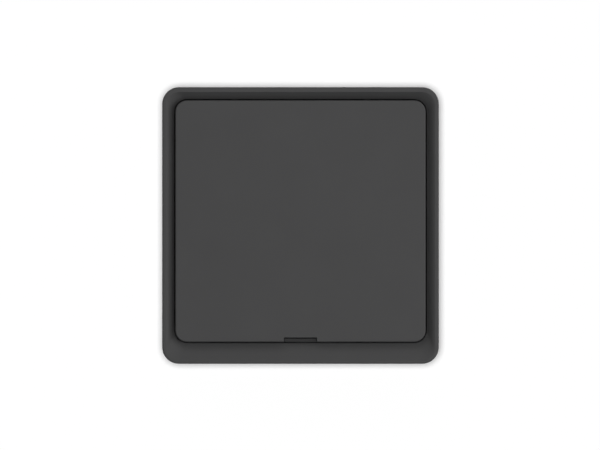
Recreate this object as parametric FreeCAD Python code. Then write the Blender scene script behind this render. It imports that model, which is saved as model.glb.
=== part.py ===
import FreeCAD, Part
import math
import os

from FreeCAD import Vector

# Wireless remote wall switch, in millimetres.
# X runs to the right and Z up, and the front faces -Y. A depth is a distance from the wall,
# so a point at depth d lies at y = -d. The origin is the middle of the frame, on the wall.

# Frame
frame_side = 63.0
frame_corner = 3.8
frame_wall = 1.5
frame_edge = 0.35
wall_clearance = 0.3
lip_side = 0.84
lip_top = 1.09
lip_bottom = 0.63
lip_corner = 3.0
dish_depth = 1.8
dish_first_angle = 20.0
dish_round = 2.0
dish_round_steps = 4
dish_straight_steps = 3
throat_wall = 1.0
dish_panel = 1.2
border_side = 3.0
border_top = 3.0
border_bottom = 5.0
pry_notch_width = 8.0
pry_notch_depth = 1.2

# Rocker
rocker_gap = 0.3
rocker_corner = 2.6
rocker_skin = 1.8
rocker_skirt = 1.2
rocker_edge = 0.3
rocker_rise = 4.8
rocker_proud = 0.4
rocker_tilt = 2.5
skirt_clearance = 0.5
notch_width = 7.5
notch_height = 1.0
rocker_rib = 1.0
rocker_rib_height = 1.0
rib_across_offset = 9.0
rib_ear_gap = 2.9

# Bearings
pin_radius = 0.75
pin_seat = 0.02
pin_running = 0.06
lug_thickness = 2.0
lug_radius = 1.8
lug_mouth = 1.25
ear_thickness = 1.6
ear_radius = 1.8
ear_gap = 0.4
ear_top_gap = 0.4
ear_skirt_gap = 0.4

# Mounting plate
plate_thickness = 2.0
plate_clearance = 0.3
seat_rim_height = 0.8
seat_rim_width = 1.2
grid_rib = 1.2
grid_rib_offset = 9.0
screw_inset = 8.7
screw_slot_length = 8.0
screw_slot_width = 4.0
screw_slot_wall = 0.9
screw_head_width = 7.0
pad_recess_side = 16.0
pad_recess_inset = 5.7
pad_recess_depth = 0.4
hook_thickness = 1.0
hook_width = 8.0
hook_length = 5.0
hook_offset = 15.0
hook_barb = 0.7
hook_barb_length = 2.0
hook_pocket_clearance = 0.2
hook_module_gap = 0.2

# Module case
module_corner = 2.6
housing_floor = 1.0
housing_wall = 1.2
solder_space = 0.8
board_thickness = 1.0
cover_thickness = 1.2
cover_rib = 1.0
cover_rib_length = 1.0
fit_clearance = 0.15
centring_rib = 1.2
centring_rib_offset = 15.0
centring_clearance = 0.05

# Module screws
post_inset = 5.5
screw_radius = 0.8
screw_length = 4.4
screw_tip_gap = 0.2
screw_head_radius = 1.7
screw_head_height = 1.0
screw_head_crown = 0.5
screw_head_sink = 0.6
screw_drive_width = 0.5
screw_drive_depth = 0.5
post_radius = 2.1
post_shoulder = 1.0

# Circuit board
board_clearance = 0.3
board_corner = 1.5

# Battery
cell_radius = 10.0
cell_height = 3.2
cell_cap_radius = 8.7
cell_cap_height = 0.3
cell_clearance = 0.2
holder_wall = 1.0
holder_floor = 0.6
holder_rim_drop = 0.2
holder_gap = 0.3
holder_grip_width = 9.0
contact_height = 0.4
contact_thickness = 0.2
contact_width = 4.0
contact_reach = 7.0
contact_bend = 1.0
clip_thickness = 0.25
clip_bend = 0.25
clip_width = 5.0
clip_hook = 1.2
tail_length = 2.2

# Tappets, springs and snap domes
well_bridge = 1.8
tappet_clearance = 0.05
tappet_head_radius = 2.8
tappet_head_rim = 0.6
tappet_crown = 0.5
stem_radius = 1.2
stem_running = 0.08
stem_collar = 0.3
stem_collar_height = 0.4
stem_slit = 0.4
stem_slit_length = 2.0
collar_clearance = 0.1
well_web = 0.8
well_wall = 1.1
well_clearance = 0.5
spring_wire = 0.3
spring_radius = 2.0
spring_turns = 3.0
spring_steps = 24
spring_sides = 8
spring_well_gap = 0.45
dome_radius = 3.0
dome_height = 0.5
dome_metal = 0.12
dome_travel = 0.25
support_radius = 3.0

# Stop buffers
buffer_inset = 15.0
buffer_radius = 2.0
buffer_skirt_gap = 0.3
buffer_crown = 0.4
buffer_sink = 0.4
buffer_clearance = 0.05

# Light guide and lamp
guide_recess = 0.9
guide_clearance = 0.25
guide_side_clearance = 0.15
guide_flange = 0.8
guide_flange_length = 1.4
guide_flange_overhang = 0.7
guide_slot_clearance = 0.1
lamp_width = 1.6
lamp_height = 0.8
lamp_thickness = 0.7

# Pairing switch
pairing_inset = 2.5
pairing_z = 10.5
pairing_case_side = 4.2
pairing_case_height = 1.5
pairing_case_top = 0.2
pairing_case_floor = 0.5
pairing_button_radius = 1.0
pairing_button_rise = 1.9
pairing_collar = 0.3
pairing_collar_height = 0.3
pairing_collar_play = 0.1
pairing_running = 0.05
pairing_hole_clearance = 0.4

# Parts on the board
radio_inset = 1.0
radio_z = -10.0
radio_width = 10.0
radio_height = 8.0
radio_thickness = 0.8
shield_margin = 1.0
shield_height = 1.4
shield_gap = 0.2
shield_metal = 0.2
shield_corner = 0.4
controller_inset = 2.5
controller_z = -8.5
controller_side = 5.0
controller_height = 0.9
crystal_gap = 1.0
crystal_width = 3.2
crystal_height = 2.0
crystal_thickness = 0.8
crystal_corner = 0.3
antenna_x = -10.0
antenna_inset = 1.5
antenna_width = 9.0
antenna_height = 2.0
antenna_thickness = 1.2
chip_width = 0.8
chip_length = 1.6
chip_thickness = 0.6
chip_pitch = 2.0
chip_rows = 2
chip_count = 5
chip_x = 5.4
chip_inset = 0.7
chip_row_pitch = 3.0

# Two edges that lie this close to one plane count as lying in it.
plane_tolerance = 0.001

# The stack, from the wall to the front
housing_back = plate_thickness + seat_rim_height
floor_front = housing_back + housing_floor
board_back = floor_front + solder_space
board_front = board_back + board_thickness
cover_back = board_front + radio_thickness + shield_height + shield_gap
cover_front = cover_back + cover_thickness
face_depth = cover_front + rocker_rise
lip_depth = face_depth - rocker_proud
opening_depth = lip_depth - dish_depth
rocker_back = face_depth - rocker_skin
pivot_depth = rocker_back - ear_top_gap - ear_radius

# Outlines that several pieces share
frame_inner = frame_side - 2 * frame_wall
plate_side = frame_inner - 2 * plate_clearance
module_side = plate_side - 2 * (hook_thickness + hook_module_gap)
housing_inner = module_side - 2 * housing_wall
housing_inner_corner = module_corner - housing_wall
board_side = housing_inner - 2 * board_clearance
board_edge = board_side / 2
screw_spacing = plate_side - 2 * screw_inset
post_offset = module_side / 2 - post_inset
rocker_width = frame_side - 2 * border_side
rocker_height = frame_side - border_top - border_bottom
rocker_z = (border_bottom - border_top) / 2
rocker_bottom = rocker_z - rocker_height / 2
opening_width = rocker_width + 2 * rocker_gap
opening_height = rocker_height + 2 * rocker_gap
opening_corner = rocker_corner + rocker_gap
opening_bottom = rocker_z - opening_height / 2

# Bearings, from the rocker's skirt inwards
ear_outer = rocker_width / 2 - rocker_skirt - ear_skirt_gap
bearing_x = ear_outer - ear_thickness - ear_gap - lug_thickness / 2
ear_inner = bearing_x - lug_thickness / 2 - ear_gap - ear_thickness

# Battery, from the board to the front
holder_z = rocker_z
holder_bore = cell_radius + cell_clearance
holder_radius = holder_bore + holder_wall
holder_floor_front = board_front + holder_floor
cell_back = holder_floor_front + contact_height
cell_front = cell_back + cell_height
holder_front = cell_front - holder_rim_drop
tail_end = holder_radius + tail_length

# What the tilt does
tilt = math.radians(rocker_tilt)
well_radius = spring_radius + spring_wire / 2 + spring_well_gap
lever_arm = holder_radius + holder_gap + well_bridge + well_wall + well_radius
edge_travel = rocker_height / 2 * math.sin(tilt)
tappet_travel = lever_arm * tilt
skirt_end = cover_front + edge_travel + skirt_clearance
tappet_places = (rocker_z + lever_arm, rocker_z - lever_arm)
buffer_arm = rocker_height / 2 - rocker_skirt - buffer_skirt_gap - buffer_radius
buffer_offset = rocker_width / 2 - buffer_inset

# Tappet, from its tip to its crown
dome_top = board_front + dome_height
tip_depth = dome_top + tappet_travel - dome_travel
collar_top = tip_depth + stem_collar_height
web_back = collar_top + tappet_travel + collar_clearance
web_front = web_back + well_web
crown_depth = rocker_back - tappet_clearance
head_back = crown_depth - tappet_crown - tappet_head_rim
well_front = head_back - tappet_travel - well_clearance

# Light guide
guide_bottom = rocker_bottom
guide_top = rocker_bottom + notch_height - guide_clearance
guide_front = face_depth - guide_recess
guide_half_width = notch_width / 2 - guide_side_clearance
guide_flange_back = cover_back - guide_flange

# Places on the board
pairing_x = board_edge - pairing_inset - pairing_case_side / 2
radio_x = radio_inset + radio_width / 2 - board_edge
controller_x = board_edge - controller_inset - controller_side / 2
crystal_z = controller_z - controller_side / 2 - crystal_gap - crystal_height / 2
antenna_z = board_edge - antenna_inset - antenna_height / 2
chip_z = chip_inset + chip_length / 2 - board_edge


def block(x_low, x_high, z_low, z_high, back, front):
    size = (x_high - x_low, front - back, z_high - z_low)
    return Part.makeBox(*size, Vector(x_low, -front, z_low))


def centred_block(width, height, back, front, x=0.0, z=0.0):
    return block(x - width / 2, x + width / 2, z - height / 2, z + height / 2, back, front)


def rod(radius, back, front, x=0.0, z=0.0):
    return Part.makeCylinder(radius, front - back, Vector(x, -back, z), Vector(0, -1, 0))


def cross_rod(radius, x_low, x_high, depth, z):
    return Part.makeCylinder(radius, x_high - x_low, Vector(x_low, -depth, z), Vector(1, 0, 0))


def rounded_outline(width, height, corner, depth, x=0.0, z=0.0):
    arcs = []
    for side_x, side_z, start in ((1, 1, 0), (-1, 1, 90), (-1, -1, 180), (1, -1, 270)):
        centre = Vector(x + side_x * (width / 2 - corner), -depth, z + side_z * (height / 2 - corner))
        points = []
        for turn in (0, 45, 90):
            angle = math.radians(start + turn)
            points.append(centre + Vector(math.cos(angle), 0, math.sin(angle)) * corner)
        arcs.append(points)
    edges = []
    for index, points in enumerate(arcs):
        edges.append(Part.Arc(*points).toShape())
        edges.append(Part.makeLine(points[2], arcs[(index + 1) % 4][0]))
    return Part.Wire(edges)


def rounded_block(width, height, corner, back, front, x=0.0, z=0.0):
    face = Part.Face(rounded_outline(width, height, corner, back, x, z))
    return face.extrude(Vector(0, back - front, 0))


def slot_outline(length, width, depth, x, z, upright):
    reach = (length - width) / 2
    radius = width / 2
    path = []
    for along, across in ((-reach, radius), (reach, radius), (reach + radius, 0),
                          (reach, -radius), (-reach, -radius), (-reach - radius, 0)):
        if upright:
            path.append(Vector(x + across, -depth, z + along))
        else:
            path.append(Vector(x + along, -depth, z + across))
    return Part.Wire([
        Part.makeLine(path[0], path[1]),
        Part.Arc(path[1], path[2], path[3]).toShape(),
        Part.makeLine(path[3], path[4]),
        Part.Arc(path[4], path[5], path[0]).toShape(),
    ])


def bent_strip(points, z_low, z_high):
    # An outline of (x, depth) points, drawn upwards into a strip.
    corners = [Vector(x, -depth, z_low) for x, depth in points]
    face = Part.Face(Part.makePolygon(corners + corners[:1]))
    return face.extrude(Vector(0, 0, z_high - z_low))


def domed_rod(radius, crown, back, front, x=0.0, z=0.0):
    ball_radius = (radius ** 2 + crown ** 2) / (2 * crown)
    ball = Part.makeSphere(ball_radius, Vector(x, ball_radius - front, z))
    return rod(radius, back, front, x, z).common(ball)


def merge(first, *others):
    return first.fuse(list(others)).removeSplitter()


def cut_all(shape, *cutters):
    return shape.cut(list(cutters))


def both_sides(shape):
    return [shape, shape.mirror(Vector(0, 0, 0), Vector(1, 0, 0))]


def four_corners(offset_x, offset_z, z=0.0):
    places = []
    for side_x in (-1, 1):
        for side_z in (-1, 1):
            places.append((side_x * offset_x, z + side_z * offset_z))
    return places


def front_edges(shape, depth):
    # The edges of a shape that lie flat in the plane at this depth.
    found = []
    for edge in shape.Edges:
        box = edge.BoundBox
        if abs(box.YMin + depth) < plane_tolerance and box.YLength < plane_tolerance:
            found.append(edge)
    return found


def side_profile(width):
    # How far the dish's side has run inwards, and fallen, along its section: from the lip it
    # rolls over in an arc, and then it falls straight to the opening, tangent to the arc.
    first = math.radians(dish_first_angle)
    run = width + dish_round * math.sin(first)
    rise = dish_round * math.cos(first) - dish_depth
    last = math.atan2(run, rise) - math.acos(dish_round / math.hypot(run, rise))
    points = []
    for step in range(dish_round_steps + 1):
        angle = first + (last - first) * step / dish_round_steps
        points.append((dish_round * (math.sin(angle) - math.sin(first)),
                       dish_round * (math.cos(first) - math.cos(angle))))
    arc_run, arc_fall = points[-1]
    for step in range(1, dish_straight_steps + 1):
        share = step / dish_straight_steps
        points.append((arc_run + (width - arc_run) * share,
                       arc_fall + (dish_depth - arc_fall) * share))
    return points


def make_dish():
    # The hollow in front of the rocker. Its sides roll over from the lip, while its upper and
    # lower slopes fall straight to the opening.
    lip_width = frame_side - 2 * lip_side
    lip_height = frame_side - lip_top - lip_bottom
    lip_z = (lip_bottom - lip_top) / 2
    outlines = []
    for inward, down in side_profile((lip_width - opening_width) / 2):
        fall = down / dish_depth
        outlines.append(rounded_outline(
            lip_width - 2 * inward,
            lip_height + (opening_height - lip_height) * fall,
            lip_corner + (opening_corner - lip_corner) * fall,
            lip_depth - down,
            0,
            lip_z + (rocker_z - lip_z) * fall,
        ))
    return Part.makeLoft(outlines, True, False)


def make_frame():
    # The surround: a square shell, dished from its flat lip down to the rocker's opening.
    shell = rounded_block(frame_side, frame_side, frame_corner, wall_clearance, lip_depth)
    shell = shell.makeFillet(frame_edge, front_edges(shell, lip_depth))
    dish = make_dish()
    opening = rounded_block(opening_width, opening_height, opening_corner,
                            cover_front, opening_depth, 0, rocker_z)
    inside = rounded_block(frame_inner, frame_inner, frame_corner - frame_wall,
                           wall_clearance, cover_front)
    shell = cut_all(shell, dish, opening, inside)

    # The wide lower border is cored out behind its slope.
    core_half = opening_width / 2 - opening_corner
    core = block(-core_half, core_half, -frame_inner / 2, opening_bottom - throat_wall,
                 cover_front, opening_depth - dish_panel)
    notch = block(-pry_notch_width / 2, pry_notch_width / 2, -frame_side / 2, -frame_inner / 2,
                  wall_clearance, wall_clearance + pry_notch_depth)
    shell = cut_all(shell, core, notch)

    # Pockets in the side walls, which the plate's hooks snap into.
    pocket_front = plate_thickness + hook_length + hook_pocket_clearance
    pocket_back = plate_thickness + hook_length - hook_barb_length - hook_pocket_clearance
    pocket_x = plate_side / 2 + hook_barb + hook_pocket_clearance
    pocket_height = hook_width + 2 * hook_pocket_clearance
    for side_z in (-1, 1):
        pocket = block(frame_inner / 2, pocket_x, side_z * hook_offset - pocket_height / 2,
                       side_z * hook_offset + pocket_height / 2, pocket_back, pocket_front)
        shell = cut_all(shell, *both_sides(pocket))

    # Ribs that centre the module between the upper and the lower wall.
    ribs = []
    for side_z in (-1, 1):
        low, high = sorted((side_z * frame_inner / 2,
                            side_z * (module_side / 2 + centring_clearance)))
        rib = block(centring_rib_offset - centring_rib / 2, centring_rib_offset + centring_rib / 2,
                    low, high, housing_back, cover_front)
        ribs += both_sides(rib)
    return merge(shell, *ribs)


def make_mounting_plate():
    # The back plate: it is screwed or stuck to the wall, and the rest snaps onto its hooks.
    plate = rounded_block(plate_side, plate_side, frame_corner - frame_wall, 0, plate_thickness)
    rim = rounded_block(module_side, module_side, module_corner, plate_thickness, housing_back)
    rim_inner = module_side - 2 * seat_rim_width
    rim = rim.cut(rounded_block(rim_inner, rim_inner, module_corner - seat_rim_width,
                                plate_thickness, housing_back))
    grid = []
    for offset in (-grid_rib_offset, grid_rib_offset):
        grid.append(centred_block(rim_inner, grid_rib, plate_thickness, housing_back, 0, offset))
        grid.append(centred_block(grid_rib, rim_inner, plate_thickness, housing_back, offset, 0))

    arm_outer = plate_side / 2
    arm_inner = arm_outer - hook_thickness
    hook_top = plate_thickness + hook_length
    catch = hook_top - hook_barb_length
    profile = [(arm_inner, plate_thickness), (arm_outer, plate_thickness), (arm_outer, catch),
               (arm_outer + hook_barb, catch), (arm_outer, hook_top), (arm_inner, hook_top)]
    hooks = []
    for side_z in (-1, 1):
        middle = side_z * hook_offset
        hooks += both_sides(bent_strip(profile, middle - hook_width / 2, middle + hook_width / 2))
    plate = merge(plate, rim, *grid, *hooks)

    # Screw slots in two pairs, one across and one upright, each with a countersunk seat.
    head_length = screw_slot_length - screw_slot_width + screw_head_width
    for upright in (False, True):
        for side in (-1, 1):
            x = 0 if upright else side * screw_spacing / 2
            z = side * screw_spacing / 2 if upright else 0
            low = slot_outline(screw_slot_length, screw_slot_width, 0, x, z, upright)
            seat = slot_outline(screw_slot_length, screw_slot_width, screw_slot_wall, x, z, upright)
            head = slot_outline(head_length, screw_head_width, plate_thickness, x, z, upright)
            through = Part.Face(low).extrude(Vector(0, -screw_slot_wall, 0))
            plate = cut_all(plate, through, Part.makeLoft([seat, head], True, True))
    pad_offset = plate_side / 2 - pad_recess_inset - pad_recess_side / 2
    for x, z in four_corners(pad_offset, pad_offset):
        plate = plate.cut(centred_block(pad_recess_side, pad_recess_side, 0, pad_recess_depth, x, z))
    return plate


def make_rear_housing():
    # The module's tray, with a post in each corner that locates the board and takes a screw.
    tray = rounded_block(module_side, module_side, module_corner, housing_back, cover_back)
    tray = tray.cut(rounded_block(housing_inner, housing_inner, housing_inner_corner,
                                  floor_front, cover_back))
    pilot_back = cover_front - screw_head_sink - screw_length - screw_tip_gap
    posts = []
    pilots = []
    for x, z in four_corners(post_offset, post_offset):
        posts.append(rod(post_radius + post_shoulder, floor_front, board_back, x, z))
        posts.append(rod(post_radius, floor_front, cover_back, x, z))
        pilots.append(rod(screw_radius + pin_seat, pilot_back, cover_back, x, z))
    for z in tappet_places:
        posts.append(rod(support_radius, floor_front, board_back, 0, z))
    return cut_all(merge(tray, *posts), *pilots)


def make_front_cover():
    # The module's lid: bearing ears at the sides, tappet wells above and below the battery.
    cover = rounded_block(module_side, module_side, module_corner, cover_back, cover_front)
    rib_side = housing_inner - 2 * fit_clearance
    rib_corner = housing_inner_corner - fit_clearance
    rib_back = cover_back - cover_rib_length
    rib = rounded_block(rib_side, rib_side, rib_corner, rib_back, cover_back)
    rib_inner = rib_side - 2 * cover_rib
    rib = rib.cut(centred_block(rib_inner, rib_inner, rib_back, cover_back))
    flange_half = guide_half_width + guide_flange_overhang + 2 * fit_clearance
    rib = rib.cut(block(-flange_half, flange_half, -rib_side / 2, 0, rib_back, cover_back))
    solids = [rib]
    holes = []
    for z in tappet_places:
        solids.append(rod(well_radius + well_wall, web_back, well_front, 0, z))
        holes.append(rod(well_radius, web_front, well_front, 0, z))
        holes.append(rod(stem_radius + stem_running, web_back, web_front, 0, z))

    # Two ears hold each pivot pin, and the rocker's lug dips through a window between them.
    for x_low in (ear_inner, ear_outer - ear_thickness):
        ear = merge(
            block(x_low, x_low + ear_thickness, rocker_z - ear_radius, rocker_z + ear_radius,
                  cover_front, pivot_depth),
            cross_rod(ear_radius, x_low, x_low + ear_thickness, pivot_depth, rocker_z)
        )
        ear = ear.common(centred_block(module_side, module_side, cover_front, face_depth))
        solids += both_sides(ear)
    window_half = lug_radius + ear_gap
    window = block(ear_inner + ear_thickness, ear_outer - ear_thickness,
                   rocker_z - window_half, rocker_z + window_half, cover_back, cover_front)
    pin_bore = cross_rod(pin_radius + pin_seat, ear_inner, ear_outer, pivot_depth, rocker_z)
    holes += both_sides(window)
    holes += both_sides(pin_bore)

    for x, z in four_corners(post_offset, post_offset):
        holes.append(rod(screw_radius + fit_clearance, cover_back, cover_front, x, z))
        holes.append(rod(screw_head_radius + fit_clearance, cover_front - screw_head_sink,
                         cover_front, x, z))
    for x, z in four_corners(buffer_offset, buffer_arm, rocker_z):
        holes.append(rod(buffer_radius, cover_front - buffer_sink, cover_front, x, z))
    holes.append(rod(holder_radius + holder_gap, cover_back, cover_front, 0, holder_z))
    holes.append(rod(pairing_button_radius + pairing_hole_clearance, cover_back, cover_front,
                     pairing_x, pairing_z))
    slot_half = guide_half_width + guide_slot_clearance
    holes.append(block(-slot_half, slot_half, guide_bottom - guide_slot_clearance,
                       guide_top + guide_slot_clearance, cover_back, cover_front))
    return cut_all(merge(cover, *solids), *holes)


def make_cover_screws():
    # Four small pan-head screws with a cross recess.
    screws = []
    for x, z in four_corners(post_offset, post_offset):
        seat = cover_front - screw_head_sink
        top = seat + screw_head_height
        shank = rod(screw_radius, seat - screw_length, seat, x, z)
        head = domed_rod(screw_head_radius, screw_head_crown, seat, top, x, z)
        drive_back = top - screw_drive_depth
        across = centred_block(screw_head_radius, screw_drive_width, drive_back, top, x, z)
        upright = centred_block(screw_drive_width, screw_head_radius, drive_back, top, x, z)
        screws.append(cut_all(merge(shank, head), across, upright))
    return Part.makeCompound(screws)


def make_circuit_board():
    board = rounded_block(board_side, board_side, board_corner, board_back, board_front)
    for x, z in four_corners(post_offset, post_offset):
        board = board.cut(rod(post_radius + fit_clearance, board_back, board_front, x, z))
    return board


def make_radio_board():
    return centred_block(radio_width, radio_height, board_front, board_front + radio_thickness,
                         radio_x, radio_z)


def make_shield_can():
    # A drawn tin lid over the radio's parts, open towards its board.
    back = board_front + radio_thickness
    front = back + shield_height
    width = radio_width - 2 * shield_margin
    height = radio_height - 2 * shield_margin
    can = rounded_block(width, height, shield_corner, back, front, radio_x, radio_z)
    return can.cut(rounded_block(width - 2 * shield_metal, height - 2 * shield_metal,
                                 shield_corner - shield_metal, back, front - shield_metal,
                                 radio_x, radio_z))


def make_controller_chip():
    return centred_block(controller_side, controller_side, board_front,
                         board_front + controller_height, controller_x, controller_z)


def make_quartz_crystal():
    return rounded_block(crystal_width, crystal_height, crystal_corner, board_front,
                         board_front + crystal_thickness, controller_x, crystal_z)


def make_chip_antenna():
    return centred_block(antenna_width, antenna_height, board_front,
                         board_front + antenna_thickness, antenna_x, antenna_z)


def make_chip_parts():
    # Two rows of small resistors and capacitors beside the crystal.
    chips = []
    for row in range(chip_rows):
        for column in range(chip_count):
            x = chip_x + column * chip_pitch
            z = chip_z + row * chip_row_pitch
            chips.append(centred_block(chip_width, chip_length, board_front,
                                       board_front + chip_thickness, x, z))
    return Part.makeCompound(chips)


def make_battery_holder():
    # A round moulded cup, slotted for its two contacts and cut away below for a fingertip.
    cup = rod(holder_radius, board_front, holder_front, 0, holder_z)
    cup = cup.cut(rod(holder_bore, holder_floor_front, holder_front, 0, holder_z))
    clip_half = clip_width / 2 + fit_clearance
    clip_slot = block(-holder_radius, -holder_bore, holder_z - clip_half, holder_z + clip_half,
                      board_front, holder_front)
    contact_half = contact_width / 2 + fit_clearance
    contact_slot = block(0, holder_radius, holder_z - contact_half, holder_z + contact_half,
                         holder_floor_front, holder_floor_front + contact_height)
    foot_slot = block(holder_bore, holder_radius, holder_z - contact_half, holder_z + contact_half,
                      board_front, holder_floor_front)
    grip = block(-holder_grip_width / 2, holder_grip_width / 2, holder_z - holder_radius, holder_z,
                 cell_back, holder_front)
    return cut_all(cup, clip_slot, contact_slot, foot_slot, grip)


def make_battery_positive_clip():
    # A sprung strip: its foot is soldered to the board and its hook bears on the cell's rim.
    outer = -holder_bore - clip_thickness
    inner = -holder_bore
    foot_front = board_front + clip_thickness
    hook_front = cell_front + clip_thickness
    points = [
        (-tail_end, board_front),
        (outer, board_front),
        (outer, foot_front),
        (inner, foot_front),
        (inner, cell_front),
        (inner + clip_hook, cell_front),
        (inner + clip_hook, hook_front),
        (outer, hook_front),
        (outer, foot_front + clip_bend),
        (outer - clip_bend, foot_front),
        (-tail_end, foot_front),
    ]
    return bent_strip(points, holder_z - clip_width / 2, holder_z + clip_width / 2)


def make_battery_negative_spring():
    # A flat strip on the cup's floor, with both ends raised to the cell and a foot on the board.
    rest = holder_floor_front
    lifted = rest + contact_thickness
    foot_x = holder_bore + contact_thickness
    strip = bent_strip([
        (-contact_reach + contact_bend, rest),
        (holder_radius, rest),
        (holder_radius, lifted),
        (-contact_reach + contact_bend, lifted),
        (-contact_reach, cell_back),
        (-contact_reach, cell_back - contact_thickness),
    ], holder_z - contact_width / 2, holder_z + contact_width / 2)
    foot = bent_strip([
        (foot_x, board_front),
        (tail_end, board_front),
        (tail_end, board_front + contact_thickness),
        (holder_radius, board_front + contact_thickness),
        (holder_radius, rest),
        (foot_x, rest),
    ], holder_z - contact_width / 2, holder_z + contact_width / 2)
    tongue = bent_strip([
        (contact_reach - contact_bend, lifted),
        (contact_reach, cell_back),
        (contact_reach, cell_back - contact_thickness),
        (contact_reach - contact_thickness, lifted),
    ], holder_z - contact_width / 2, holder_z + contact_width / 2)
    return merge(strip, foot, tongue)


def make_coin_cell():
    # A lithium coin cell, its wide can to the front and its smaller cap to the board.
    can = rod(cell_radius, cell_back + cell_cap_height, cell_front, 0, holder_z)
    cap = rod(cell_cap_radius, cell_back, cell_back + cell_cap_height, 0, holder_z)
    return merge(can.makeFillet(cell_cap_height, front_edges(can, cell_front)), cap)


def make_snap_dome(z):
    # A thin domed disc that clicks when it is pressed flat.
    ball_radius = (dome_radius ** 2 + dome_height ** 2) / (2 * dome_height)
    centre = Vector(0, ball_radius - dome_top, z)
    skin = Part.makeSphere(ball_radius, centre).cut(Part.makeSphere(ball_radius - dome_metal, centre))
    return skin.common(rod(dome_radius, board_front, dome_top, 0, z))


def make_tappet(z):
    # A round-headed pin: the slit lets its collar pass the bore and snap out behind the web.
    stem = rod(stem_radius, tip_depth, head_back, 0, z)
    collar = rod(stem_radius + stem_collar, tip_depth, collar_top, 0, z)
    head = domed_rod(tappet_head_radius, tappet_crown, head_back, crown_depth, 0, z)
    slit = centred_block(stem_slit, 2 * (stem_radius + stem_collar), tip_depth,
                         tip_depth + stem_slit_length, 0, z)
    return merge(stem, collar, head).cut(slit)


def make_return_spring(z):
    # An open coil between the well's web and the tappet's head, its wire drawn from one
    # many-sided section to the next.
    wire_radius = spring_wire / 2
    height = head_back - web_front - spring_wire
    lean = math.atan2(height, 2 * math.pi * spring_turns * spring_radius)
    spans = round(spring_turns * spring_steps)
    sections = []
    for step in range(spans + 1):
        turn = 2 * math.pi * spring_turns * step / spans
        outward = Vector(math.cos(turn), 0, math.sin(turn))
        onward = Vector(-math.sin(turn), 0, math.cos(turn))
        frontward = Vector(0, -math.cos(lean), 0) - onward * math.sin(lean)
        depth = web_front + wire_radius + height * step / spans
        middle = Vector(0, -depth, z) + outward * spring_radius
        corners = []
        for side in range(spring_sides):
            angle = 2 * math.pi * side / spring_sides
            corners.append(middle + outward * wire_radius * math.cos(angle)
                           + frontward * wire_radius * math.sin(angle))
        sections.append(Part.makePolygon(corners + corners[:1]))
    return Part.makeLoft(sections, True, True)


def make_pivot_pin(side):
    pin = cross_rod(pin_radius, ear_inner, ear_outer, pivot_depth, rocker_z)
    return pin if side > 0 else both_sides(pin)[1]


def make_stop_buffers():
    # Soft pads under the rocker's corners: their crowns stop it just past the switching point.
    stop = pivot_depth + (rocker_back - pivot_depth) / math.cos(tilt) - buffer_arm * math.tan(tilt)
    pads = []
    for x, z in four_corners(buffer_offset, buffer_arm, rocker_z):
        pads.append(domed_rod(buffer_radius, buffer_crown, cover_front - buffer_sink,
                              stop - buffer_clearance, x, z))
    return Part.makeCompound(pads)


def make_light_guide():
    # A smoked blade that carries the lamp's light into the rocker's notch.
    blade = block(-guide_half_width, guide_half_width, guide_bottom, guide_top,
                  guide_flange_back, guide_front)
    flange_half = guide_half_width + guide_flange_overhang
    flange = block(-flange_half, flange_half, guide_bottom, guide_bottom + guide_flange_length,
                   guide_flange_back, cover_back)
    return merge(blade, flange)


def make_status_lamp():
    middle = guide_bottom + guide_flange_length / 2
    return centred_block(lamp_width, lamp_height, board_front, board_front + lamp_thickness, 0, middle)


def make_pairing_switch_case():
    top = board_front + pairing_case_height
    chamber_radius = pairing_button_radius + pairing_collar + pairing_collar_play
    case = centred_block(pairing_case_side, pairing_case_side, board_front, top,
                         pairing_x, pairing_z)
    chamber = rod(chamber_radius, board_front + pairing_case_floor, top - pairing_case_top,
                  pairing_x, pairing_z)
    bore = rod(pairing_button_radius + pairing_running, top - pairing_case_top, top,
               pairing_x, pairing_z)
    return cut_all(case, chamber, bore)


def make_pairing_button():
    top = board_front + pairing_case_height
    collar_front = top - pairing_case_top - pairing_collar_play
    collar_back = collar_front - pairing_collar_height
    collar = rod(pairing_button_radius + pairing_collar, collar_back, collar_front,
                 pairing_x, pairing_z)
    stem = rod(pairing_button_radius, collar_back, top + pairing_button_rise, pairing_x, pairing_z)
    return merge(collar, stem)


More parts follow.
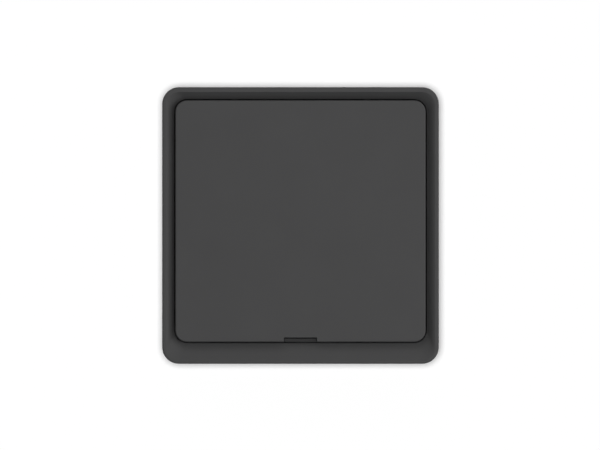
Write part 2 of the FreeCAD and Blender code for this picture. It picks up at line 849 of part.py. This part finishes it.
def make_rocker_plate():
    # The rocker: a flat cap with a skirt and ribs, and two lugs that snap over the pivot pins.
    cap = rounded_block(rocker_width, rocker_height, rocker_corner, skirt_end, face_depth,
                        0, rocker_z)
    cap = cap.makeFillet(rocker_edge, front_edges(cap, face_depth))
    inner_width = rocker_width - 2 * rocker_skirt
    inner_height = rocker_height - 2 * rocker_skirt
    cap = cap.cut(rounded_block(inner_width, inner_height, rocker_corner - rocker_skirt,
                                skirt_end, rocker_back, 0, rocker_z))

    rib_back = rocker_back - rocker_rib_height
    rib_x = ear_inner - rib_ear_gap - rocker_rib / 2
    added = []
    for side in (-1, 1):
        added.append(centred_block(inner_width, rocker_rib, rib_back, rocker_back,
                                   0, rocker_z + side * rib_across_offset))
        added.append(centred_block(rocker_rib, inner_height, rib_back, rocker_back,
                                   side * rib_x, rocker_z))
    lug_low = bearing_x - lug_thickness / 2
    lug_high = bearing_x + lug_thickness / 2
    lug = merge(
        block(lug_low, lug_high, rocker_z - lug_radius, rocker_z + lug_radius,
              pivot_depth, rocker_back),
        cross_rod(lug_radius, lug_low, lug_high, pivot_depth, rocker_z)
    )
    bore = cross_rod(pin_radius + pin_running, lug_low, lug_high, pivot_depth, rocker_z)
    mouth = block(lug_low, lug_high, rocker_z - lug_mouth / 2, rocker_z + lug_mouth / 2,
                  pivot_depth - lug_radius, pivot_depth)
    added += both_sides(cut_all(lug, bore, mouth))

    half = notch_width / 2
    notch = block(-half, half, rocker_bottom, rocker_bottom + notch_height, skirt_end, face_depth)
    skirt_gap = block(-half, half, rocker_bottom, rocker_bottom + rocker_skirt,
                      skirt_end, rocker_back)
    return cut_all(merge(cap, *added), notch, skirt_gap)


pieces = {
    "mounting_plate": make_mounting_plate(),
    "frame": make_frame(),
    "rear_housing": make_rear_housing(),
    "front_cover": make_front_cover(),
    "cover_screws": make_cover_screws(),
    "circuit_board": make_circuit_board(),
    "radio_board": make_radio_board(),
    "shield_can": make_shield_can(),
    "controller_chip": make_controller_chip(),
    "quartz_crystal": make_quartz_crystal(),
    "chip_antenna": make_chip_antenna(),
    "chip_parts": make_chip_parts(),
    "battery_holder": make_battery_holder(),
    "battery_positive_clip": make_battery_positive_clip(),
    "battery_negative_spring": make_battery_negative_spring(),
    "coin_cell": make_coin_cell(),
    "upper_snap_dome": make_snap_dome(tappet_places[0]),
    "lower_snap_dome": make_snap_dome(tappet_places[1]),
    "upper_return_spring": make_return_spring(tappet_places[0]),
    "lower_return_spring": make_return_spring(tappet_places[1]),
    "left_pivot_pin": make_pivot_pin(-1),
    "right_pivot_pin": make_pivot_pin(1),
    "stop_buffers": make_stop_buffers(),
    "light_guide": make_light_guide(),
    "status_lamp": make_status_lamp(),
    "pairing_switch_case": make_pairing_switch_case(),
    "rocker_plate": make_rocker_plate(),
    "upper_tappet": make_tappet(tappet_places[0]),
    "lower_tappet": make_tappet(tappet_places[1]),
    "pairing_button": make_pairing_button(),
}

os.makedirs("parts", exist_ok=True)
for name, shape in pieces.items():
    shape.exportStep("parts/" + name + ".step")
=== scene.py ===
import math

import bpy
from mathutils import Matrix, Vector


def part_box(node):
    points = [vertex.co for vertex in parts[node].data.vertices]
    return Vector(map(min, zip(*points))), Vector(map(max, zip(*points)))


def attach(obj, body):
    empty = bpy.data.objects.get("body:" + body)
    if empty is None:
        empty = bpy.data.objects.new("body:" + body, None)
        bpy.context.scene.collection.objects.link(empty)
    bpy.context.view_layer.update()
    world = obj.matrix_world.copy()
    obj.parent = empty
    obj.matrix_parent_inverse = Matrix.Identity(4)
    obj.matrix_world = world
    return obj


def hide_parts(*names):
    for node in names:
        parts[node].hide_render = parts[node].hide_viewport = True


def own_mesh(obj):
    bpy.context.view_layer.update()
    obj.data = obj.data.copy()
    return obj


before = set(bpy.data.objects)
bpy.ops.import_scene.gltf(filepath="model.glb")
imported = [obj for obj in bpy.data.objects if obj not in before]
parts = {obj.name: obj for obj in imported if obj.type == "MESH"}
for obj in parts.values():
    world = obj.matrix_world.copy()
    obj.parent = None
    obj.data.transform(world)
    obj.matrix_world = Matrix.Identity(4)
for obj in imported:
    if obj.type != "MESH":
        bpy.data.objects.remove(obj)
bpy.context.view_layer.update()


# Mounting plate. A moulded plate of glass-filled nylon, screwed or stuck to the wall, with four
# shallow recesses for adhesive pads, slots for two screws either way and snap hooks at its edges.
def new_finish(name):
    finish = bpy.data.materials.new(name)
    finish.use_nodes = True
    nodes = finish.node_tree.nodes
    places = nodes.new("ShaderNodeTexCoord")
    return finish, nodes, finish.node_tree.links, nodes["Principled BSDF"], places.outputs["Object"]


def speckle(nodes, links, places, per_metre, detail=3.0, stretch=None):
    if stretch:
        mapping = nodes.new("ShaderNodeMapping")
        mapping.inputs["Scale"].default_value = stretch
        links.new(places, mapping.inputs["Vector"])
        places = mapping.outputs["Vector"]
    noise = nodes.new("ShaderNodeTexNoise")
    noise.inputs["Scale"].default_value = per_metre
    noise.inputs["Detail"].default_value = detail
    links.new(places, noise.inputs["Vector"])
    return noise.outputs["Fac"]


# The noise of a grain keeps mostly between 0.3 and 0.7.
def spread(nodes, links, source, low, high, from_low=0.3, from_high=0.7):
    ramp = nodes.new("ShaderNodeMapRange")
    ramp.inputs["From Min"].default_value = from_low
    ramp.inputs["From Max"].default_value = from_high
    ramp.inputs["To Min"].default_value = low
    ramp.inputs["To Max"].default_value = high
    links.new(source, ramp.inputs["Value"])
    return ramp.outputs["Result"]


def tint(nodes, links, source, first, second):
    mix = nodes.new("ShaderNodeMix")
    mix.data_type = "RGBA"
    links.new(source, mix.inputs["Factor"])
    for letter, colour in (("A", first), ("B", second)):
        socket = next(i for i in mix.inputs if i.name == letter and i.type == "RGBA")
        if isinstance(colour, tuple):
            socket.default_value = (*colour, 1.0)
        else:
            links.new(colour, socket)
    return next(o for o in mix.outputs if o.type == "RGBA")


def shaded(colour, share):
    return tuple(channel * share for channel in colour)


def relief(nodes, links, source, depth, before=None):
    bump = nodes.new("ShaderNodeBump")
    bump.inputs["Strength"].default_value = 1.0
    bump.inputs["Distance"].default_value = depth
    links.new(source, bump.inputs["Height"])
    if before is not None:
        links.new(before, bump.inputs["Normal"])
    return bump.outputs["Normal"]


def moulded_plastic(name, colour, roughness, grain, grain_depth, shine=0.16, mottle=0.08, cloud=90.0):
    finish, nodes, links, shader, places = new_finish(name)
    clouds = spread(nodes, links, speckle(nodes, links, places, cloud), 0.0, 1.0)
    colours = tint(nodes, links, clouds, shaded(colour, 1 - mottle), shaded(colour, 1 + mottle))
    links.new(colours, shader.inputs["Base Color"])
    grain_field = speckle(nodes, links, places, grain)
    links.new(spread(nodes, links, grain_field, *roughness), shader.inputs["Roughness"])
    links.new(relief(nodes, links, grain_field, grain_depth), shader.inputs["Normal"])
    shader.inputs["Specular IOR Level"].default_value = shine
    return finish


def dress(finish, *names):
    for name in names:
        mesh = parts[name].data
        mesh.materials.clear()
        mesh.materials.append(finish)


plate_plastic = moulded_plastic("plate_plastic", colour=(0.05, 0.05, 0.052), roughness=(0.48, 0.64),
                                grain=2000.0, grain_depth=2.4e-5, mottle=0.14)
dress(plate_plastic, "mounting_plate")


# Rear housing and front cover. The black case of the transmitter module, moulded in two halves
# that close round the board and are held by four screws, a little glossier than the outer shells.
case_plastic = moulded_plastic("case_plastic", colour=(0.035, 0.035, 0.036), roughness=(0.42, 0.56),
                               grain=4200.0, grain_depth=6.0e-6)
dress(case_plastic, "rear_housing", "front_cover")


# Circuit board and the small radio board on it. Glass-fibre laminate under a green solder mask.
# The copper traces show through the mask in bundles, with small tinned holes between the layers; the
# dark middle of each hole is painted shade.
mask_green = (0.016, 0.1, 0.042)
mask_roughness = (0.28, 0.42)
hole_tin = (0.55, 0.53, 0.47)
trace_pitch = 0.0007
trace_rise = 3.0e-5
trace_edge = (0.72, 0.8)
trace_light = 1.6
bundle_size = 0.0065
bundle_blur = 0.01
level_share = 0.5
routed_share = 0.6
hole_spacing = 0.0042
hole_radius = 0.00018
# Painted shade in the middle of each hole, as a share of the mask's colour.
hole_shade_share = 0.2
ring_radius = 0.0004
weave_grain = 1500.0
weave_depth = 8.0e-6

# Waves of scale 1 are this far apart, in metres.
wave_unit = math.tau / 20


def combined(nodes, links, operation, first, second):
    step = nodes.new("ShaderNodeMath")
    step.operation = operation
    for socket, value in zip(step.inputs, (first, second)):
        if isinstance(value, float):
            socket.default_value = value
        else:
            links.new(value, socket)
    return step.outputs["Value"]


def above(nodes, links, source, limit):
    return spread(nodes, links, source, 0.0, 1.0, limit - bundle_blur, limit + bundle_blur)


def stripes(nodes, links, places, direction, pitch):
    wave = nodes.new("ShaderNodeTexWave")
    wave.bands_direction = direction
    wave.inputs["Scale"].default_value = wave_unit / pitch
    links.new(places, wave.inputs["Vector"])
    return spread(nodes, links, wave.outputs["Fac"], 0.0, 1.0, *trace_edge)


def flat_cells(nodes, links, places, size, metric="EUCLIDEAN"):
    turn = nodes.new("ShaderNodeMapping")
    turn.inputs["Rotation"].default_value = (math.radians(90), 0.0, 0.0)
    links.new(places, turn.inputs["Vector"])
    cells = nodes.new("ShaderNodeTexVoronoi")
    cells.voronoi_dimensions = "2D"
    cells.distance = metric
    cells.inputs["Scale"].default_value = 1.0 / size
    links.new(turn.outputs["Vector"], cells.inputs["Vector"])
    return cells


def masked_laminate(name):
    finish, nodes, links, shader, places = new_finish(name)
    zones = flat_cells(nodes, links, places, bundle_size, "CHEBYCHEV")
    kinds = nodes.new("ShaderNodeSeparateColor")
    links.new(zones.outputs["Color"], kinds.inputs["Color"])
    upright = above(nodes, links, kinds.outputs["Red"], level_share)
    level = combined(nodes, links, "SUBTRACT", 1.0, upright)
    across = combined(nodes, links, "MULTIPLY", level,
                      stripes(nodes, links, places, "Z", trace_pitch))
    along = combined(nodes, links, "MULTIPLY", upright,
                     stripes(nodes, links, places, "X", trace_pitch))
    traces = combined(nodes, links, "ADD", across, along)
    routed = above(nodes, links, kinds.outputs["Green"], 1 - routed_share)
    traces = combined(nodes, links, "MULTIPLY", traces, routed)
    holes = flat_cells(nodes, links, places, hole_spacing).outputs["Distance"]
    tinned = combined(nodes, links, "LESS_THAN", holes, ring_radius / hole_spacing)
    # A painted shade fills the middle of each hole, standing for the dark inside of the hole.
    hole_shade_mask = combined(nodes, links, "LESS_THAN", holes, hole_radius / hole_spacing)
    colours = tint(nodes, links, traces, mask_green, shaded(mask_green, trace_light))
    colours = tint(nodes, links, tinned, colours, hole_tin)
    links.new(tint(nodes, links, hole_shade_mask, colours, shaded(mask_green, hole_shade_share)),
              shader.inputs["Base Color"])
    weave = speckle(nodes, links, places, weave_grain, detail=2.0)
    links.new(spread(nodes, links, weave, *mask_roughness), shader.inputs["Roughness"])
    raised = relief(nodes, links, traces, trace_rise)
    links.new(relief(nodes, links, weave, weave_depth, before=raised), shader.inputs["Normal"])
    return finish


board_laminate = masked_laminate("board_laminate")
dress(board_laminate, "circuit_board", "radio_board")


# Shield can, crystal and battery contacts. Thin steel and brass strip, tin plated, punched and
# bent, so the rolled surface runs in fine lines one way with small dull patches in the plating.
def plated_metal(name, colour, roughness, lines, line_depth, stretch=None, patch=260.0, dull=0.88):
    finish, nodes, links, shader, places = new_finish(name)
    patches = spread(nodes, links, speckle(nodes, links, places, patch), 0.0, 1.0)
    links.new(tint(nodes, links, patches, shaded(colour, dull), colour), shader.inputs["Base Color"])
    rolled = speckle(nodes, links, places, lines, stretch=stretch)
    links.new(spread(nodes, links, rolled, *roughness), shader.inputs["Roughness"])
    links.new(relief(nodes, links, rolled, line_depth), shader.inputs["Normal"])
    shader.inputs["Metallic"].default_value = 1.0
    return finish


tin_colour = (0.66, 0.65, 0.62)
tin_plate = plated_metal("tin_plate", tin_colour, roughness=(0.28, 0.42), lines=2600.0,
                         line_depth=3.0e-6, stretch=(0.08, 1.0, 1.0))
dress(tin_plate, "shield_can", "quartz_crystal", "battery_positive_clip", "battery_negative_spring")


# Controller chip and the case of the pairing switch. Both are moulded in black resin with a fine
# sandy surface, and soldered to the board.
chip_resin = moulded_plastic("chip_resin", colour=(0.028, 0.028, 0.029), roughness=(0.46, 0.6),
                             grain=9000.0, grain_depth=6.0e-6)
dress(chip_resin, "controller_chip", "pairing_switch_case")


# Chip antenna. A bar of fired ceramic, soldered at the board's upper edge. It is matt and pale
# brown, with darker specks where the powder was coarser.
ceramic_grain = 7000.0
ceramic_depth = 5.0e-6
ceramic = moulded_plastic("ceramic", colour=(0.42, 0.35, 0.27), roughness=(0.5, 0.66),
                          grain=ceramic_grain, grain_depth=ceramic_depth, mottle=0.16)
dress(ceramic, "chip_antenna")


# Small chip parts. Two rows of black resistors and brown capacitors by turns, each dipped in tin
# at both ends, where it is soldered to the board.
resistor_black = (0.03, 0.03, 0.032)
capacitor_brown = (0.34, 0.25, 0.17)
chip_roughness = (0.34, 0.52)
chip_width = 0.0008
chip_length = 0.0016
chip_pitch = 0.002
chip_row_pitch = 0.003
chip_bare_length = 0.001


def tinned_chips(name, first_middle):
    finish, nodes, links, shader, places = new_finish(name)
    split = nodes.new("ShaderNodeSeparateXYZ")
    links.new(places, split.inputs["Vector"])
    from_column = combined(nodes, links, "SUBTRACT", split.outputs["X"], first_middle[0])
    from_column = combined(nodes, links, "PINGPONG", from_column, chip_pitch)
    other = combined(nodes, links, "GREATER_THAN", from_column, chip_pitch / 2)
    from_row = combined(nodes, links, "SUBTRACT", split.outputs["Z"], first_middle[1])
    from_row = combined(nodes, links, "PINGPONG", from_row, chip_row_pitch / 2)
    dipped = combined(nodes, links, "GREATER_THAN", from_row, chip_bare_length / 2)
    bodies = tint(nodes, links, other, resistor_black, capacitor_brown)
    grain = speckle(nodes, links, places, ceramic_grain)
    links.new(tint(nodes, links, dipped, bodies, tin_colour), shader.inputs["Base Color"])
    links.new(dipped, shader.inputs["Metallic"])
    links.new(spread(nodes, links, grain, *chip_roughness), shader.inputs["Roughness"])
    links.new(relief(nodes, links, grain, ceramic_depth), shader.inputs["Normal"])
    return finish


chip_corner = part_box("chip_parts")[0]
chip_ceramic = tinned_chips("ceramic_chips", (chip_corner[0] + chip_width / 2,
                                              chip_corner[2] + chip_length / 2))
dress(chip_ceramic, "chip_parts")


# Battery holder. A black cup of heat-resistant nylon that the coin cell drops into, held on the
# board by its two soldered contacts.
holder_plastic = moulded_plastic("holder_plastic", colour=(0.02, 0.02, 0.021), roughness=(0.36, 0.5),
                                 grain=3600.0, grain_depth=5.0e-6)
dress(holder_plastic, "battery_holder")


# Coin cell. A nickel-plated steel can, turned and polished in rings, crimped over its lid and held
# in the holder by the hooked contact at its rim.
cell_nickel = (0.69, 0.68, 0.66)
cell_dull = 0.9
cell_patch = 320.0
cell_roughness = (0.22, 0.34)
cell_ring_pitch = 0.00035
cell_ring_depth = 2.0e-6


def ringed_steel(name, centre):
    finish, nodes, links, shader, places = new_finish(name)
    move = nodes.new("ShaderNodeMapping")
    move.inputs["Location"].default_value = (-centre[0], 0.0, -centre[1])
    links.new(places, move.inputs["Vector"])
    rings = nodes.new("ShaderNodeTexWave")
    rings.wave_type = "RINGS"
    rings.rings_direction = "Y"
    rings.inputs["Scale"].default_value = wave_unit / cell_ring_pitch
    links.new(move.outputs["Vector"], rings.inputs["Vector"])
    patches = spread(nodes, links, speckle(nodes, links, places, cell_patch), 0.0, 1.0)
    links.new(tint(nodes, links, patches, shaded(cell_nickel, cell_dull), cell_nickel),
              shader.inputs["Base Color"])
    links.new(spread(nodes, links, rings.outputs["Fac"], *cell_roughness, 0.0, 1.0),
              shader.inputs["Roughness"])
    links.new(relief(nodes, links, rings.outputs["Fac"], cell_ring_depth), shader.inputs["Normal"])
    shader.inputs["Metallic"].default_value = 1.0
    return finish


cell_low, cell_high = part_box("coin_cell")
cell_steel = ringed_steel("cell_steel", ((cell_low[0] + cell_high[0]) / 2,
                                         (cell_low[2] + cell_high[2]) / 2))
dress(cell_steel, "coin_cell")


# Pivot pins. Two lengths of bright stainless steel, cut from drawn wire and pressed into the
# cover's ears, with faint marks of the drawing along them.
spring_steel = plated_metal("spring_steel", (0.56, 0.56, 0.57), roughness=(0.2, 0.34), lines=3800.0,
                            line_depth=2.0e-6, stretch=(1.0, 0.15, 1.0))
dress(spring_steel, "left_pivot_pin", "right_pivot_pin")


# Snap domes. Thin discs of the same steel, stamped to a shallow dome and held on the board over
# their contacts. A dome flattens to half its height with a click when its tappet presses it.
dome_metal = 0.00012
dome_rings = 12
dome_steps = 60
dome_sharp_angle = 40


def room_of(node):
    low, high = (Vector(corner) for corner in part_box(node))
    return low, high, (low + high) / 2


def sprung_piece(name, points, faces, sharp_angle, node):
    low, high, middle = room_of(node)
    mesh = bpy.data.meshes.new(name)
    mesh.from_pydata(points, [], faces)
    mesh.polygons.foreach_set("use_smooth", [True] * len(faces))
    mesh.set_sharp_from_angle(angle=math.radians(sharp_angle))
    mesh.materials.append(spring_steel)
    piece = bpy.data.objects.new(name, mesh)
    bpy.context.scene.collection.objects.link(piece)
    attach(piece, "wall_unit")
    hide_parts(node)
    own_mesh(piece)


def snap_dome(name, node):
    low, high, middle = room_of(node)
    rim = (high.x - low.x) / 2
    rise = high.y - low.y
    ball_radius = (rim ** 2 + rise ** 2) / (2 * rise)
    hollow_radius = ball_radius - dome_metal
    hollow_rim = math.sqrt(hollow_radius ** 2 - (ball_radius - rise) ** 2)

    def skin(radius, edge):
        reaches = [edge * ring / dome_rings for ring in range(1, dome_rings + 1)]
        return [(out, math.sqrt(radius ** 2 - out ** 2) - ball_radius + rise) for out in reaches]

    profile = skin(ball_radius, rim) + skin(hollow_radius, hollow_rim)[::-1]
    points = [Vector((middle.x, low.y, middle.z))]
    for out, up in profile:
        for step in range(dome_steps):
            angle = 2 * math.pi * step / dome_steps
            points.append(Vector((middle.x + out * math.cos(angle), high.y - up,
                                  middle.z + out * math.sin(angle))))
    points.append(Vector((middle.x, low.y + dome_metal, middle.z)))
    under = len(points) - 1
    last = under - dome_steps
    faces = []
    for step in range(dome_steps):
        after = (step + 1) % dome_steps
        faces.append((0, 1 + step, 1 + after))
        for first in range(1, last, dome_steps):
            second = first + dome_steps
            faces.append((first + step, second + step, second + after, first + after))
        faces.append((under, last + after, last + step))
    sprung_piece(name, points, faces, dome_sharp_angle, node)


snap_dome("upper_disc", "upper_snap_dome")
snap_dome("lower_disc", "lower_snap_dome")


# Return springs. Round stainless wire, coiled with its end turns laid flat, between the cover's
# web and the tappet's head. A spring closes up as its end of the rocker is pressed.
spring_wire = 0.0003
spring_turns = 4.2
flat_turns = 0.6
turn_steps = 40
wire_sides = 14
wire_sharp_angle = 50


def spring_rise(turned, height):
    flat_rise = flat_turns * spring_wire
    if turned < flat_turns:
        return turned * spring_wire
    if turned > spring_turns - flat_turns:
        return height - (spring_turns - turned) * spring_wire
    share = (turned - flat_turns) / (spring_turns - 2 * flat_turns)
    return flat_rise + share * (height - 2 * flat_rise)


def coil_spring(name, node):
    low, high, middle = room_of(node)
    radius = (high.x - low.x - spring_wire) / 2
    length = high.y - low.y
    spans = round(spring_turns * turn_steps)
    points, faces = [], []
    for step in range(spans + 1):
        turned = spring_turns * step / spans
        angle = 2 * math.pi * turned
        outward = Vector((math.cos(angle), 0.0, math.sin(angle)))
        centre = Vector((middle.x, high.y - spring_wire / 2, middle.z)) + outward * radius
        centre.y -= spring_rise(turned, length - spring_wire)
        for side in range(wire_sides):
            around = 2 * math.pi * side / wire_sides
            points.append(centre + outward * (math.cos(around) * spring_wire / 2)
                          - Vector((0.0, math.sin(around) * spring_wire / 2, 0.0)))
    last = spans * wire_sides
    for first in range(0, last, wire_sides):
        second = first + wire_sides
        for side in range(wire_sides):
            after = (side + 1) % wire_sides
            faces.append((first + side, first + after, second + after, second + side))
    faces.append(tuple(reversed(range(wire_sides))))
    faces.append(tuple(range(last, last + wire_sides)))
    sprung_piece(name, points, faces, wire_sharp_angle, node)


coil_spring("upper_coil", "upper_return_spring")
coil_spring("lower_coil", "lower_return_spring")


# Status lamp and light guide. The lamp is a small chip of clear resin on the board, and the guide
# is moulded in smoked polycarbonate, frosted where it shows in the rocker's notch.
lamp_resin = moulded_plastic("lamp_resin", colour=(0.72, 0.69, 0.58), roughness=(0.14, 0.24),
                             grain=5000.0, grain_depth=2.0e-6, shine=0.5, mottle=0.05)
dress(lamp_resin, "status_lamp")
smoked_clear = moulded_plastic("smoked_clear", colour=(0.0165, 0.0165, 0.017), roughness=(0.4, 0.5),
                               grain=6500.0, grain_depth=4.0e-6, shine=0.12)
dress(smoked_clear, "light_guide")


# Tappets and pairing button. Natural acetal, milky white and slightly waxy, which slides well in
# the bores of the cover.
wax_share = 0.15
wax_reach = (0.0008, 0.0008, 0.0007)
tappet_plastic = moulded_plastic("tappet_plastic", colour=(0.74, 0.73, 0.69), roughness=(0.34, 0.46),
                                 grain=3000.0, grain_depth=4.0e-6, shine=0.5, mottle=0.03)
tappet_shader = tappet_plastic.node_tree.nodes["Principled BSDF"]
tappet_shader.inputs["Subsurface Weight"].default_value = wax_share
tappet_shader.inputs["Subsurface Radius"].default_value = wax_reach
dress(tappet_plastic, "upper_tappet", "lower_tappet", "pairing_button")


# Cover screws. Four small cross-headed steel screws, zinc plated, that cut their own thread in
# the housing's posts and hold the cover down.
zinc_steel = plated_metal("zinc_steel", (0.62, 0.63, 0.66), roughness=(0.26, 0.4), lines=3000.0,
                          line_depth=3.0e-6)
dress(zinc_steel, "cover_screws")


# Stop buffers. Four soft silicone pads with rounded tops, pressed into the cover where the
# rocker's corners come to rest.
buffer_rubber = moulded_plastic("buffer_rubber", colour=(0.03, 0.03, 0.031), roughness=(0.7, 0.85),
                                grain=2400.0, grain_depth=8.0e-6, shine=0.1)
dress(buffer_rubber, "stop_buffers")


# Frame and rocker. The shells that show, in anthracite polycarbonate with a fine matt grain, the
# frame snapped over the plate's hooks and the rocker clipped on its two pins.
shell_plastic = moulded_plastic("shell_plastic", colour=(0.0623, 0.0623, 0.063),
                                roughness=(0.56, 0.64), grain=5200.0, grain_depth=5.0e-6,
                                shine=0.08, mottle=0.02)
dress(shell_plastic, "frame", "rocker_plate")


# The wall behind the switch. White and smooth, it takes the shadow and shows from the front only,
# so that the back of the switch can be seen as well. It throws no light on the switch.
wall_half = 0.25
wall_gap = 0.0004
wall_white = 0.9
wall_mesh = bpy.data.meshes.new("wall")
wall_mesh.from_pydata(
    [(-wall_half, wall_gap, -wall_half), (wall_half, wall_gap, -wall_half),
     (wall_half, wall_gap, wall_half), (-wall_half, wall_gap, wall_half)], [], [(0, 1, 2, 3)])
wall = bpy.data.objects.new("wall", wall_mesh)
bpy.context.scene.collection.objects.link(wall)
wall_paint, nodes, links, shader = new_finish("wall_paint")[:4]
nodes.remove(shader)
matt = nodes.new("ShaderNodeBsdfDiffuse")
matt.inputs["Color"].default_value = (wall_white, wall_white, wall_white, 1.0)
clear = nodes.new("ShaderNodeBsdfTransparent")
sides = nodes.new("ShaderNodeNewGeometry")
either = nodes.new("ShaderNodeMixShader")
links.new(sides.outputs["Backfacing"], either.inputs["Fac"])
links.new(matt.outputs["BSDF"], either.inputs[1])
links.new(clear.outputs["BSDF"], either.inputs[2])
links.new(either.outputs["Shader"], nodes["Material Output"].inputs["Surface"])
wall_mesh.materials.append(wall_paint)
for kind in ("diffuse", "glossy", "transmission", "shadow", "volume_scatter"):
    setattr(wall, "visible_" + kind, False)


# Lamps. A broad soft box in front to the right with a smaller one on each side of it, others above,
# below, in front and on the left, and one behind for the back, none of which light the wall. One
# more lights the wall alone and gives the narrow shadow.
lamp_aim = Vector((0.0, -0.007, 0.0))
lamp_distance = 0.9
wall_lamp_distance = 3.2
world_level = 0.054


def seen_from(turn, rise, distance):
    turn, rise = math.radians(turn), math.radians(rise)
    return Vector((distance * math.sin(turn) * math.cos(rise),
                   -distance * math.cos(turn) * math.cos(rise), distance * math.sin(rise)))


# At level 1 a lamp lights a white surface that faces it to full white.
def soft_box(name, place, width, level, only_wall=False):
    lamp = bpy.data.lights.new(name, "AREA")
    lamp.shape = "DISK"
    lamp.size = width
    lamp.energy = level * math.pi ** 2 * (place - lamp_aim).length ** 2
    box = bpy.data.objects.new(name, lamp)
    box.location = place
    box.rotation_mode = "QUATERNION"
    box.rotation_quaternion = (lamp_aim - place).to_track_quat("-Z", "Y")
    box.visible_camera = False
    bpy.context.scene.collection.objects.link(box)
    lit = bpy.data.collections.new(name + "_lights")
    lit.objects.link(wall)
    lit.collection_objects[0].light_linking.link_state = "INCLUDE" if only_wall else "EXCLUDE"
    box.light_linking.receiver_collection = lit
    return box


soft_box("right_box", seen_from(42, 0, lamp_distance), width=0.8, level=0.28)
soft_box("far_right_box", seen_from(62, 0, lamp_distance), width=0.6, level=0.19)
soft_box("near_right_box", seen_from(20, 0, lamp_distance), width=0.5, level=0.155)
soft_box("upper_box", seen_from(0, 48, lamp_distance), width=0.6, level=0.24)
soft_box("lower_box", seen_from(0, -42, lamp_distance), width=0.6, level=0.09)
soft_box("front_box", seen_from(0, 0, lamp_distance), width=0.5, level=0.22)
soft_box("left_box", seen_from(-50, 0, lamp_distance), width=0.5, level=0.03)
soft_box("back_box", seen_from(212, 30, lamp_distance), width=0.8, level=1.2)
wall_box = soft_box("wall_box", seen_from(-0.6, -0.15, wall_lamp_distance), width=0.72, level=1.08,
                    only_wall=True)
wall_box.visible_glossy = False

# The room looks white to the camera, in a shine and through clear pieces, but gives little light.
world = bpy.data.worlds.new("room")
bpy.context.scene.world = world
world.use_nodes = True
nodes, links = world.node_tree.nodes, world.node_tree.links
rays = nodes.new("ShaderNodeLightPath")
white = combined(nodes, links, "MAXIMUM", rays.outputs["Is Camera Ray"], rays.outputs["Is Glossy Ray"])
white = combined(nodes, links, "MAXIMUM", white, rays.outputs["Is Transmission Ray"])
background = nodes["Background"]
links.new(spread(nodes, links, white, world_level, 1.0, 0.0, 1.0), background.inputs["Strength"])
background.inputs["Color"].default_value = (1.0, 1.0, 1.0, 1.0)
bpy.context.scene.view_settings.view_transform = "Standard"


# Camera. A very long lens straight in front, as in a catalogue picture, which takes in 136.6 mm
# across at the front of the frame and aims a tenth of a millimetre left of and above its middle.
view_width = 0.1366
front_depth = 0.014
lens = 600.0
aim_left = 0.000114
aim_up = 0.000112
camera_data = bpy.data.cameras.new("camera")
camera_data.lens = lens
camera_data.sensor_width = 36.0
camera_data.clip_start = 0.1
camera_data.clip_end = 10.0
camera_distance = view_width / camera_data.sensor_width * lens
camera = bpy.data.objects.new("camera", camera_data)
camera.location = (-aim_left, -front_depth - camera_distance, aim_up)
camera.rotation_euler = (math.radians(90), 0.0, 0.0)
bpy.context.scene.collection.objects.link(camera)
bpy.context.scene.camera = camera
